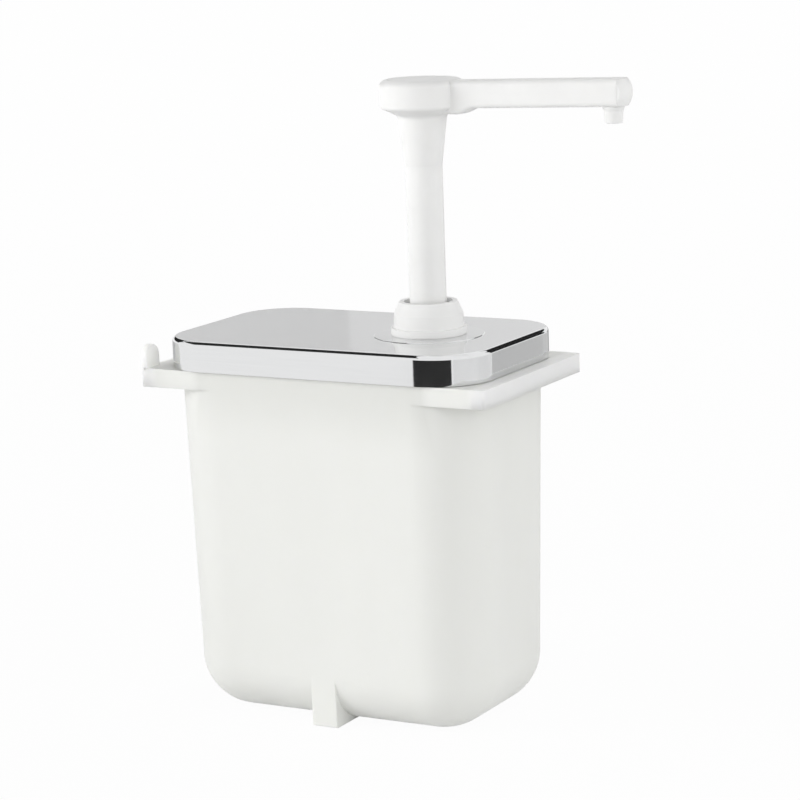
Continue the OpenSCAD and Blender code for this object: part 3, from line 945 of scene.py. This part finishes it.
@dataclass
class Cylinder(Assembly):
    """The pump cylinder with its guide, wiper, valve cup and suction tube."""

    bore_r: float = 12.6
    outer_r: float = 15.0
    bottom: float = 83.5
    flange_low: float = 180.9
    flange_high: float = 183.9
    flange_r: float = 22.0
    neck_r: float = 14.0
    neck_top: float = 195.9
    barrel_edge: float = 0.35
    guide_low: float = 181.9
    guide_high: float = 197.9
    guide_edge: float = 0.2
    stem_r: float = 8.88
    sleeve_r: float = 12.54
    wiper_r: float = 11.0
    wiper_low: float = 196.9
    wiper_lip: float = 0.9
    wiper_edge: float = 0.15
    cup_floor: float = 82.0
    cup_rim: float = 94.0
    cup_r: float = 17.56
    cup_bore: float = 15.06
    cup_foot: float = 78.0
    cup_edge: float = 0.4
    room_r: float = 7.6
    seat_top: float = 79.0
    seat_hole: float = 4.02
    tube_top: float = 71.42
    cup_bottom: float = 59.42
    tube_r: float = 6.0
    tube_wall: float = 1.5
    tube_edge: float = 0.25
    socket_r: float = 8.5
    tube_foot: float = 8.4
    gap: float = 0.06

    def barrel(self) -> Shape:
        """Makes the cylinder with its clamping flange and neck.

        Returns:
            The cylinder.
        """
        outline = stairs(self.bore_r, self.bottom, self.outer_r, self.flange_low, self.flange_r,
                         self.flange_high, self.neck_r, self.neck_top, self.bore_r)
        return Shape().turn(outline).rounded(self.barrel_edge)

    def guide(self) -> Shape:
        """Makes the bush in the cylinder's neck.

        Returns:
            The bush.
        """
        outline = stairs(self.stem_r, self.guide_low, self.sleeve_r, self.neck_top, self.neck_r,
                         self.guide_high, self.wiper_r, self.wiper_low, self.stem_r)
        return Shape().turn(outline).rounded(self.guide_edge, FEW)

    def wiper(self) -> Shape:
        """Makes the lip seal round the stem.

        Returns:
            The seal.
        """
        foot = stairs(self.stem_r, self.wiper_low, self.wiper_r - self.gap, self.guide_high)
        lip = stairs(self.stem_r + self.wiper_lip, self.guide_high + self.wiper_lip, self.stem_r)
        return Shape().turn(foot + lip).rounded(self.wiper_edge, FEW)

    def cup(self) -> Shape:
        """Makes the valve cup with its seat and the socket for the suction tube.

        Returns:
            The cup.
        """
        outline = [
            *stairs(self.tube_r, self.cup_bottom, self.socket_r, self.tube_top), (self.cup_r, self.cup_foot),
            *stairs(self.cup_r, self.cup_rim, self.cup_bore, self.cup_floor, self.room_r, self.seat_top),
            (self.seat_hole, self.seat_top - (self.room_r - self.seat_hole)),
            *stairs(self.seat_hole, self.tube_top, self.tube_r)]
        return Shape().turn(outline).rounded(self.cup_edge)

    def tube(self) -> Shape:
        """Makes the suction tube with its slanted foot.

        Returns:
            The tube.
        """
        shape = ring(self.tube_r - self.tube_wall, self.tube_r - self.gap, self.tube_foot, self.tube_top,
                     steps=TURN_STEPS // 2)
        cut = bmesh.ops.bisect_plane(
            shape.bm, geom=shape.everything, dist=JOIN, plane_co=(PUMP_X + self.tube_r, 0, self.tube_foot),
            plane_no=(1, 0, 1), clear_inner=True)["geom_cut"]
        bmesh.ops.bridge_loops(shape.bm, edges=only(Edge, cut))
        return shape.healed().rounded(self.tube_edge, FEW)

    def build(self) -> None:
        """Makes the pieces of the fixed pump and dresses them."""
        self.dress(self.barrel(), "pump_barrel", Slot.WHITE, "cylinder")
        self.dress(self.guide(), "stem_bush", Slot.WHITE, "stem_guide")
        self.dress(self.wiper(), "stem_lip_seal", Slot.RUBBER, "stem_wiper")
        self.dress(self.cup(), "inlet_valve_cup", Slot.WHITE, "valve_cup")
        self.dress(self.tube(), "suction_pipe", Slot.WHITE, "suction_tube")
        self.dress_nodes(Slot.RUBBER, "valve_seal")
        self.dress_nodes(Slot.WHITE, "ball_cage")


@dataclass
class Spring(Assembly):
    """The return spring, which shortens as the pump is pressed; this script winds it at rest only."""

    radius: float = 10.6
    wire: float = 1.6
    turns: int = 11
    low: float = 84.0
    high: float = 165.6
    end_gap: float = 0.6
    stroke: float = 60.0
    ring_steps: int = 40
    wire_sides: int = 14

    def build(self) -> None:
        """Winds the wire with close end turns and dresses it."""
        shape = Shape()
        bmesh.ops.create_circle(shape.bm, cap_ends=False, radius=self.wire / 2, segments=self.wire_sides)
        shape.tipped("X").moved((PUMP_X + self.radius, 0, self.low + self.wire / 2))
        end_pitch = self.wire + self.end_gap
        length = self.high - self.low
        tip = shape.everything
        for turns, rise in ((1, end_pitch), (self.turns - 2, length - self.wire - 2 * end_pitch),
                            (1, end_pitch)):
            steps = turns * self.ring_steps
            tip = shape.spun(tip, PUMP_AXIS, turns * math.tau, steps, rise / steps)
        bmesh.ops.holes_fill(shape.bm, edges=[e for e in shape.bm.edges if e.is_boundary])
        piece = self.dress(shape.healed(), "return_coil", Slot.WIRE, "return_spring")
        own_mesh(piece)


@dataclass
class Plunger(Assembly):
    """Piston, rings, washer, outlet seat, stem seal and valve balls, all hidden inside the pump."""

    def build(self) -> None:
        """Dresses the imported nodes, which nothing opens to view."""
        self.dress_nodes(Slot.WHITE, "piston", "slip_washer", "outlet_seat")
        self.dress_nodes(Slot.RUBBER, "piston_rings", "stem_seal")
        self.dress_nodes(Slot.WIRE, "inlet_ball", "outlet_ball")


@dataclass
class Head(Assembly):
    """Stem, palm head with its spout, cap, end plug and nozzle."""

    body: Body = Body.HEAD
    stem_r: float = 8.8
    spigot_r: float = 6.8
    bore_r: float = 5.0
    stem_foot: float = 166.3
    shoulder: float = 181.9
    trunk_foot: float = 266.5
    socket: float = 20.0
    stop_low: float = 183.17
    stop: float = 2.0
    trunk_r: float = 11.7
    head_low: float = 290.0
    head_high: float = 307.0
    head_r: float = 20.0
    head_round: float = 3.5
    under_rise: float = 3.0
    under_round: float = 2.4
    under_angle: float = -60.0
    cap_r: float = 16.0
    cap_t: float = 2.0
    gap: float = 0.06
    edge: float = 0.3
    spout_end: float = 141.0
    spout_w: float = 14.0
    spout_low: float = 293.3
    spout_high: float = 306.1
    spout_rise: float = 2.2
    spout_round: float = 2.6
    spout_parts: int = 8
    haunch_low: float = 290.9
    haunch_reach: float = 21.0
    haunch_run: float = 9.0
    channel_r: float = 3.3
    channel_z: float = 300.3
    dome_rise: float = 4.2
    dome_r: float = 10.0
    plug_inset: float = 0.2
    plug_edge: float = 0.25
    plug_least: float = 35.0
    shank_sunk: float = 1.05
    nozzle_x: float = 136.4
    nozzle_face: float = 295.6
    nozzle_low: float = 287.8
    nozzle_r: float = 4.5
    nozzle_draft: float = 0.3
    nozzle_least: float = 25.0
    nozzle_bore: float = 2.95
    nozzle_collar_r: float = 5.1
    nozzle_collar_h: float = 1.0
    nozzle_spigot_r: float = 3.85
    blend: float = 1.4
    blend_parts: int = 5

    def passage(self, start: float, end: float, radius: float) -> Shape:
        """Gives a round rod along the spout, between two distances from the jar's middle."""
        return ring(0.0, radius, start, end, (0.0, 0.0)).tipped("Y").moved((0, 0, self.channel_z))

    def haunch(self) -> list[Point2]:
        """Eases the line under the spout's root.

        Returns:
            Its points, along and up, from the axis to where it meets the spout.
        """
        line = [(PUMP_X, self.haunch_low)]
        for i in range(ARC_STEPS + 1):
            share = i / ARC_STEPS
            x = PUMP_X + self.haunch_reach + self.haunch_run * share
            spout = self.spout_low + self.spout_rise * (x - PUMP_X) / (self.spout_end - PUMP_X)
            line.append((x, self.haunch_low + (spout - self.haunch_low) * share * share * (3 - 2 * share)))
        return line

    def bar(self, side: list[Point2], width: float) -> Shape:
        """Makes a bar with rounded long edges.

        Args:
            side: Outline of its side, along and up.
            width: Width across.

        Returns:
            The bar.
        """
        shape = Shape().prism([(x, -width / 2, z) for x, z in side], (0, width, 0))
        return shape.rounded(self.spout_round, self.spout_parts,
                             where=lambda e: abs(run(e).y) < JOIN < abs(run(e).x))

    def stem(self) -> Shape:
        """Makes the plunger tube with the bar that stops the outlet ball.

        Returns:
            The tube.
        """
        tube = Shape().turn(stairs(
            self.bore_r, self.stem_foot, self.spigot_r, self.shoulder, self.stem_r, self.trunk_foot,
            self.spigot_r, self.trunk_foot + self.socket, self.bore_r))
        tube.rounded(self.edge, FEW, where=lambda e: abs(e.verts[0].co.z - self.trunk_foot) > JOIN)
        reach = (self.bore_r + self.spigot_r) / 2
        stop = Shape().block((PUMP_X - reach, -self.stop / 2, self.stop_low),
                             (PUMP_X + reach, self.stop / 2, self.stop_low + self.stop))
        return tube.with_shapes([stop], Join.ADD)

    def head(self) -> Shape:
        """Makes the head, trunk and spout as one moulding with its passages.

        Returns:
            The moulding.
        """
        side = self.head_low + self.under_rise + self.under_round
        crown = (self.head_r - self.head_round, self.head_high - self.head_round)
        solid = Shape().turn([
            (0.0, self.trunk_foot), (self.stem_r, self.trunk_foot), (self.trunk_r, self.head_low),
            *arc((self.head_r - self.under_round, side), self.under_round, self.under_angle, 0.0),
            *arc(crown, self.head_round, 0.0, 90.0), (0.0, self.head_high)])
        solid.rounded(self.blend, self.blend_parts, SLOPING,
                      lambda e: abs(e.verts[0].co.z - self.head_low) < JOIN)
        spout = [*self.haunch(), (self.spout_end, self.spout_low + self.spout_rise),
                 (self.spout_end, self.spout_high + self.spout_rise), (PUMP_X, self.spout_high)]
        solid.with_shapes([self.bar(spout, self.spout_w)], Join.ADD)
        foot, top, face, outlet = self.trunk_foot, self.head_high, self.nozzle_face, (self.nozzle_x, 0.0)
        return solid.with_shapes([
            ring(0.0, self.spigot_r + self.gap, foot - self.blend, foot + self.socket),
            ring(0.0, self.bore_r, foot + self.blend, top),
            ring(0.0, self.cap_r, top - self.cap_t, top + self.blend),
            self.passage(PUMP_X, self.spout_end + self.blend, self.channel_r),
            ring(0.0, self.nozzle_collar_r + self.gap, face - self.blend, face, outlet),
            ring(0.0, self.nozzle_spigot_r + self.gap, face - self.blend, self.channel_z, outlet)], Join.CUT)

    def cap(self) -> Shape:
        """Makes the flat cap with its plug.

        Returns:
            The cap.
        """
        shape = Shape().turn(stairs(
            0.0, self.channel_z + self.channel_r, self.bore_r - self.gap, self.head_high - self.cap_t,
            self.cap_r - self.gap, self.head_high, 0.0))
        return shape.rounded(self.edge, where=lambda e: e.verts[0].co.z > self.head_high - JOIN)

    def nozzle(self) -> Shape:
        """Makes the outlet under the spout's end.

        Returns:
            The outlet.
        """
        collar = self.nozzle_face - self.nozzle_collar_h
        shape = Shape().turn([
            (self.nozzle_bore, self.nozzle_low), (self.nozzle_r - self.nozzle_draft, self.nozzle_low),
            (self.nozzle_r, collar - self.nozzle_collar_h), (self.nozzle_collar_r, collar),
            *stairs(self.nozzle_collar_r, self.nozzle_face, self.nozzle_spigot_r,
                    self.channel_z - self.channel_r, self.nozzle_bore)], (self.nozzle_x, 0.0))
        return shape.rounded(self.edge, least=self.nozzle_least,
                             where=lambda e: e.verts[0].co.z < self.nozzle_face - JOIN)

    def plug(self) -> Shape:
        """Makes the domed plug in the spout's end.

        Returns:
            The plug.
        """
        dome = Shape()
        bmesh.ops.create_uvsphere(dome.bm, u_segments=TURN_STEPS, v_segments=TURN_STEPS // 2,
                                  radius=self.dome_r)
        low, high = self.spout_low + self.spout_rise, self.spout_high + self.spout_rise
        dome.tipped("Y").moved((self.spout_end + self.dome_rise - self.dome_r, 0, (low + high) / 2))
        low, high = low + self.plug_inset, high - self.plug_inset
        tip = self.spout_end + self.dome_rise + self.blend
        shape = self.bar([(self.spout_end, low), (tip, low), (tip, high), (self.spout_end, high)],
                         self.spout_w - 2 * self.plug_inset)
        shape.with_shapes([dome], Join.SHARE).rounded(self.plug_edge, FEW, self.plug_least)
        shank = self.passage(self.nozzle_x + self.nozzle_bore, self.spout_end + self.shank_sunk,
                             self.channel_r - self.gap)
        return shape.with_shapes([shank], Join.ADD)

    def build(self) -> None:
        """Makes the pieces that are pressed down together and dresses them."""
        for make, name, node in ((self.stem, "plunger_stem", "stem"), (self.head, "palm_head", "head"),
                                 (self.cap, "palm_cap", "head_cap"), (self.nozzle, "outlet_nozzle", "nozzle"),
                                 (self.plug, "spout_end_plug", "spout_plug")):
            self.dress(make(), name, Slot.WHITE, node)


@dataclass(frozen=True)
class Card:
    """A curved card that only gloss meets; directions are degrees from the front towards the spout."""

    name: str
    middle: Point2
    start: float
    end: float
    shade: float
    low: float = 0.0
    high: float = 110.0
    reach: float = 700.0


@dataclass(frozen=True)
class Panel:
    """A flat black card between two corners, in metres, whose faces stop a share of the light."""

    name: str
    low: Point3
    high: Point3
    hidden: tuple[Ray, ...]
    cover: float = 1.0


@dataclass(frozen=True)
class Lamp:
    """A soft square lamp, with its place and the length of its sides in metres and its power in watts."""

    name: str
    place: Point3
    size: float
    watts: float


@dataclass
class Studio:
    """Floor, light and the camera at the picture's angle."""

    azimuth: float = 29.61
    elevation: float = 9.49
    roll: float = 2.09
    distance: float = 1395.0
    target: Point3 = (0.0, 0.0, 185.5)
    target_pixel: Point2 = (359.7, 330.3)
    focal_pixels: float = 2890.0
    picture: float = 800.0
    sensor: float = 36.0
    clip: Point2 = (0.05, 200.0)
    floor_size: float = 40.0
    floor_grey: Point2 = (0.80, 0.82)
    floor_grain: Grain = Grain(2.0)
    floor_white: float = 0.96
    fill: float = 1.0
    white: Colour = (1.0, 1.0, 1.0)
    card_grain: Grain = Grain(3.0)
    card_uneven: float = 1.1
    black: float = 0.02
    matt: Fixed = (("Roughness", 0.9), ("Specular IOR Level", 0.0))
    panels: tuple[Panel, ...] = (
        Panel("dark_ceiling", (-1.8, -1.55, 1.52), (0.5, 0.75, 1.53), (Ray.GLOSS,)),
        Panel("dark_band", (-1.8, -1.55, 1.5), (-0.55, 0.75, 1.51), GLOSS_ONLY),
        Panel("left_net", (-0.102, -0.074, 0.0), (-0.100, -0.010, 0.176), (Ray.GLOSS, Ray.DIFFUSE), 0.22))
    cards: tuple[Card, ...] = (
        Card("dark_card", (58.0, -27.0), -26.0, 48.5, 0.035),
        Card("pale_card", (58.0, 0.0), 50.0, 146.0, 0.85),
        Card("grey_card_right", (58.0, 0.0), 147.0, 174.0, 0.57),
        Card("grey_card_far", (58.0, 0.0), 174.0, 212.0, 0.3, 0.0, 175.0),
        Card("grey_card_left", (-58.0, 0.0), -215.0, -108.0, 0.62),
        Card("dark_card_left", (-58.0, 0.0), -138.0, -92.0, 0.03, 380.0, 1000.0, 1200.0),
        Card("dark_card_behind", (58.0, 27.0), 144.0, 160.0, 0.02, 215.0, 1000.0, 1200.0),
        Card("dark_card_high", (58.0, 27.0), 160.0, 194.0, 0.02, 600.0, 1080.0, 1200.0),
        Card("grey_card_behind", (0.0, 0.0), -150.0, -135.0, 0.70, 300.0, 560.0, 1500.0),
        Card("pale_card_behind", (0.0, 0.0), -166.0, -150.0, 0.78, 300.0, 560.0, 1500.0))
    lamps: tuple[Lamp, ...] = (
        Lamp("key_left", (-1.75, -1.2, 0.75), 1.2, 26.0),
        Lamp("fill_right", (1.9, -0.7, 0.6), 1.2, 5.0))

    def camera(self) -> None:
        """Places the camera so that the middle of the lid falls on its pixel."""
        az, el, roll = (math.radians(a) for a in (self.azimuth, self.elevation, self.roll))
        back = Vector((math.sin(az) * math.cos(el), -math.cos(az) * math.cos(el), math.sin(el)))
        level = Vector((math.cos(az), math.sin(az), 0.0))
        upright = back.cross(level)
        right = level * math.cos(roll) - upright * math.sin(roll)
        up = upright * math.cos(roll) + level * math.sin(roll)
        across = (self.target_pixel[0] - self.picture / 2) / self.focal_pixels
        above = (self.picture / 2 - self.target_pixel[1]) / self.focal_pixels
        ahead = (-back - right * across - up * above).normalized()
        right = (right - ahead * right.dot(ahead)).normalized()
        up = right.cross(ahead)
        data = bpy.data.cameras.new("picture_camera")
        data.sensor_width = self.sensor
        data.lens = self.focal_pixels * self.sensor / self.picture
        data.clip_start, data.clip_end = self.clip
        camera = bpy.data.objects.new("picture_camera", data)
        bpy.context.scene.collection.objects.link(camera)
        place = Matrix.Translation((Vector(self.target) + back * self.distance) * MM)
        camera.matrix_world = place @ Matrix((right, up, -ahead)).transposed().to_4x4()
        bpy.context.scene.camera = camera

    def paint(self, made: Thing, grain: Grain, greys: Point2) -> Board:
        """Gives a studio piece a matt, slightly uneven grey.

        Args:
            made: The studio piece.
            grain: Pattern of the unevenness.
            greys: Darker and paler grey.

        Returns:
            The board of its material.
        """
        board = Board(bpy.data.materials.new(made.name + "_paint"))
        low, high = ((grey,) * 3 for grey in greys)
        board.tint(board.spread(grain), low, high)
        board.fix(self.matt)
        made.data.materials.append(board.owner)
        return board

    def card(self, made: Thing, shade: float, hidden: tuple[Ray, ...], cover: float = 1.0) -> None:
        """Paints a studio card grey and hides it from the camera and from other rays.

        Args:
            made: The card.
            shade: Grey of the card.
            hidden: Other rays that it is hidden from.
            cover: Share of the light that each of its faces stops.
        """
        board = self.paint(made, self.card_grain, (shade, shade * self.card_uneven))
        board.fix((("Alpha", cover),))
        for ray in (Ray.CAMERA, *hidden):
            setattr(made, ray.value, False)

    def curved(self, card: Card) -> Thing:
        """Stands a curved card in the studio.

        Args:
            card: Its sizes and place.

        Returns:
            The bare card.
        """
        shape = Shape()
        turn = math.radians(card.start)
        foot = (card.middle[0] + card.reach * math.sin(turn), card.middle[1] - card.reach * math.cos(turn))
        verts, edges = shape.chain([(*foot, card.low), (*foot, card.high)], False)
        shape.spun(verts + edges, card.middle, math.radians(card.end - card.start), TURN_STEPS // 2)
        return shape.in_metres().raw(card.name)

    def floor(self) -> None:
        """Lays the pale floor, which keeps the object's shadow."""
        shape = Shape()
        bmesh.ops.create_grid(shape.bm, x_segments=1, y_segments=1, size=self.floor_size / 2)
        board = self.paint(shape.raw("studio_floor"), self.floor_grain, self.floor_grey)
        share = board.math(Sum.TIMES, board.seen(), self.floor_white)
        board.shown(share, board.shader, board.node("ShaderNodeEmission", {}), "Material Output")

    def sky(self) -> None:
        """Sets the even studio surround, white to the camera."""
        bpy.context.scene.world = bpy.data.worlds.new("studio_surround")
        board = Board(bpy.context.scene.world)
        fill, white = (board.node("ShaderNodeBackground", {"Color": (*self.white, 1.0), "Strength": strength})
                       for strength in (self.fill, 1.0))
        board.shown(board.seen(), fill, white, "World Output")

    def hang(self, lamp: Lamp) -> None:
        """Hangs a lamp that points at the middle of the lid.

        Args:
            lamp: Its place, size and power.
        """
        data = bpy.data.lights.new(lamp.name, "AREA")
        data.size, data.energy = lamp.size, lamp.watts
        made = bpy.data.objects.new(lamp.name, data)
        made.location = lamp.place
        way = Vector(self.target) * MM - Vector(lamp.place)
        made.rotation_euler = way.to_track_quat("-Z", "Y").to_euler()
        made.visible_glossy = False
        bpy.context.scene.collection.objects.link(made)

    def build(self) -> None:
        """Sets up camera, floor, surround, cards and lamps."""
        bpy.context.scene.view_settings.view_transform = "Standard"
        self.camera()
        self.floor()
        self.sky()
        for panel in self.panels:
            made = Shape().block(panel.low, panel.high).raw(panel.name)
            self.card(made, self.black, panel.hidden, panel.cover)
        for card in self.cards:
            self.card(self.curved(card), card.shade, GLOSS_ONLY)
        for lamp in self.lamps:
            self.hang(lamp)


def main() -> None:
    """Builds every sub-assembly in order and logs each, then builds the studio."""
    logging.basicConfig(level=logging.INFO, format="%(message)s")
    kinds = {Slot.JAR: MilkyPlastic(), Slot.WHITE: MouldedPlastic(), Slot.STEEL: PolishedSteel(),
             Slot.RUBBER: SealRubber(), Slot.WIRE: DrawnSteel()}
    finishes = {slot: kind.material() for slot, kind in kinds.items()}
    for kind in (Jar, Lid, Clamp, Cylinder, Spring, Plunger, Head):
        kind(finishes).build()
        LOG.info("%s done", kind.__name__.lower())
    Studio().build()


if __name__ == "__main__":
    main()
